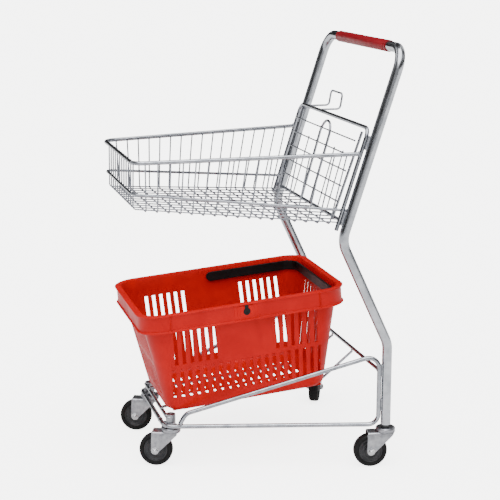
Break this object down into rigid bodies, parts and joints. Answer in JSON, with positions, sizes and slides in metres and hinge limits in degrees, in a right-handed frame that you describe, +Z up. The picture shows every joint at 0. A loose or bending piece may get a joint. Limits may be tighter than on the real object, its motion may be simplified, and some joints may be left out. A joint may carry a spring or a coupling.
{
  "type": "shopping cart",
  "caption": "Self-service shopping cart: bent tube frame on swivel casters, nesting wire basket with a rear flap above, lift-off hand basket on the rack below.",
  "frame": {"origin": "on the floor under the middle of the cart: midway between the back of the grip and the front of the wire basket's rim, midway between the posts", "axes": "+X forwards, away from the shopper; +Y to the cart's left; +Z up"},
  "size_m": [0.5915, 0.538, 0.946],
  "materials": {
    "zinc_plated_tube": "bright zinc plated and lacquered",
    "zinc_plated_rod": "bright zinc plated and lacquered",
    "zinc_plated_wire": "bright zinc plated and lacquered",
    "pressed_steel": "zinc plated pressed steel",
    "hard_steel": "bright turned steel",
    "grip_plastic": "satin extruded sleeve",
    "grey_nylon": "moulded",
    "dark_nylon": "moulded",
    "black_rubber": "moulded tread, satin side walls",
    "red_polypropylene": "injection moulded, satin gloss",
    "black_polypropylene": "injection moulded, fine texture"
  },
  "bodies": {
    "frame": {"main_tube": "zinc_plated_tube", "handle_grip": "grip_plastic", "side_loop_left": "zinc_plated_rod", "side_loop_right": "zinc_plated_rod", "front_lower_rod": "zinc_plated_rod", "front_upper_rod": "zinc_plated_rod", "front_socket_left": "pressed_steel", "front_socket_right": "pressed_steel", "post_bush_left": "dark_nylon", "post_bush_right": "dark_nylon", "loop_welds": "pressed_steel", "rack_rear_rod": "zinc_plated_rod", "rack_floor_rods": "zinc_plated_rod", "rear_basket_rod": "zinc_plated_rod", "basket_welds": "pressed_steel", "basket_rim": "zinc_plated_rod", "basket_mid_rod": "zinc_plated_rod", "side_wires_left": "zinc_plated_wire", "side_wires_right": "zinc_plated_wire", "floor_wires": "zinc_plated_wire", "front_wires": "zinc_plated_wire", "basket_rear_edge": "zinc_plated_rod", "bag_hook": "zinc_plated_rod", "stem_front_left": "pressed_steel", "stem_front_right": "pressed_steel", "stem_rear_left": "pressed_steel", "stem_rear_right": "pressed_steel"},
    "flap": {"flap_side_rods": "zinc_plated_rod", "flap_centre_loop": "zinc_plated_rod", "flap_cross_wires": "zinc_plated_wire", "flap_thin_wires": "zinc_plated_wire"},
    "caster_front_left": {"fork_front_left": "pressed_steel", "balls_front_left": "hard_steel", "axle_front_left": "hard_steel", "sleeve_front_left": "hard_steel"},
    "wheel_front_left": {"hub_front_left": "grey_nylon", "tyre_front_left": "black_rubber"},
    "caster_front_right": {"fork_front_right": "pressed_steel", "balls_front_right": "hard_steel", "axle_front_right": "hard_steel", "sleeve_front_right": "hard_steel"},
    "wheel_front_right": {"hub_front_right": "grey_nylon", "tyre_front_right": "black_rubber"},
    "caster_rear_left": {"fork_rear_left": "pressed_steel", "balls_rear_left": "hard_steel", "axle_rear_left": "hard_steel", "sleeve_rear_left": "hard_steel"},
    "wheel_rear_left": {"hub_rear_left": "grey_nylon", "tyre_rear_left": "black_rubber"},
    "caster_rear_right": {"fork_rear_right": "pressed_steel", "balls_rear_right": "hard_steel", "axle_rear_right": "hard_steel", "sleeve_rear_right": "hard_steel"},
    "wheel_rear_right": {"hub_rear_right": "grey_nylon", "tyre_rear_right": "black_rubber"},
    "hand_basket": {"hand_basket": "red_polypropylene"},
    "bail": {"basket_bail": "black_polypropylene", "bail_knobs": "black_polypropylene"}
  },
  "joints": [
    {"name": "flap_hinge", "type": "hinge", "parent": "frame", "child": "flap", "pos_m": [-0.21038, 0, 0.765], "axis": [0, -1, 0], "range_deg": [0, 80]},
    {"name": "swivel_front_left", "type": "hinge", "parent": "frame", "child": "caster_front_left", "pos_m": [0.20525, 0.118, 0.085], "axis": [0, 0, 1], "continuous": true},
    {"name": "roll_front_left", "type": "hinge", "parent": "caster_front_left", "child": "wheel_front_left", "pos_m": [0.23677, 0.10526, 0.038], "axis": [0.3746, 0.9272, 0], "continuous": true},
    {"name": "swivel_front_right", "type": "hinge", "parent": "frame", "child": "caster_front_right", "pos_m": [0.20525, -0.118, 0.085], "axis": [0, 0, 1], "continuous": true},
    {"name": "roll_front_right", "type": "hinge", "parent": "caster_front_right", "child": "wheel_front_right", "pos_m": [0.23677, -0.13074, 0.038], "axis": [0.3746, 0.9272, 0], "continuous": true},
    {"name": "swivel_rear_left", "type": "hinge", "parent": "frame", "child": "caster_rear_left", "pos_m": [-0.25975, 0.247, 0.085], "axis": [0, 0, 1], "continuous": true},
    {"name": "roll_rear_left", "type": "hinge", "parent": "caster_rear_left", "child": "wheel_rear_left", "pos_m": [-0.22627, 0.2411, 0.038], "axis": [0.1736, 0.9848, 0], "continuous": true},
    {"name": "swivel_rear_right", "type": "hinge", "parent": "frame", "child": "caster_rear_right", "pos_m": [-0.25975, -0.247, 0.085], "axis": [0, 0, 1], "continuous": true},
    {"name": "roll_rear_right", "type": "hinge", "parent": "caster_rear_right", "child": "wheel_rear_right", "pos_m": [-0.24538, -0.21619, 0.038], "axis": [-0.9063, 0.4226, 0], "continuous": true},
    {"name": "basket_lift_out", "type": "slide", "parent": "frame", "child": "hand_basket", "axis": [0.9659, 0, 0.2588], "range_m": [0, 0.62]},
    {"name": "bail_hinge", "type": "hinge", "parent": "hand_basket", "child": "bail", "pos_m": [0.04359, 0, 0.36307], "axis": [0, 1, 0], "range_deg": [0, 45]}
  ]
}
